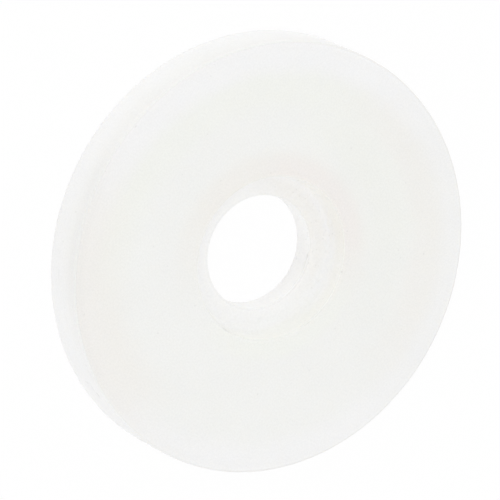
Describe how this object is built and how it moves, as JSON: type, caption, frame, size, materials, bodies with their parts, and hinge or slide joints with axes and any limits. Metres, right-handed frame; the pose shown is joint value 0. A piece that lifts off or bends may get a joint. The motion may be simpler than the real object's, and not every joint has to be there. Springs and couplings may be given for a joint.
{
  "type": "handle washer",
  "caption": "Flat round washer in milky white plastic, with a through bore and a wider shallow counterbore in its front face.",
  "frame": {"origin": "centre of the flat back face, which the washer lies on", "axes": "+Z along the axis of the bore, from the back face towards the counterbored front face; X and Y are free, because the washer is round"},
  "size_m": [0.0254, 0.0254, 0.0029],
  "materials": {
    "nylon": "milky white, satin, slightly translucent"
  },
  "bodies": {
    "root": {"washer": "nylon"}
  },
  "joints": []
}
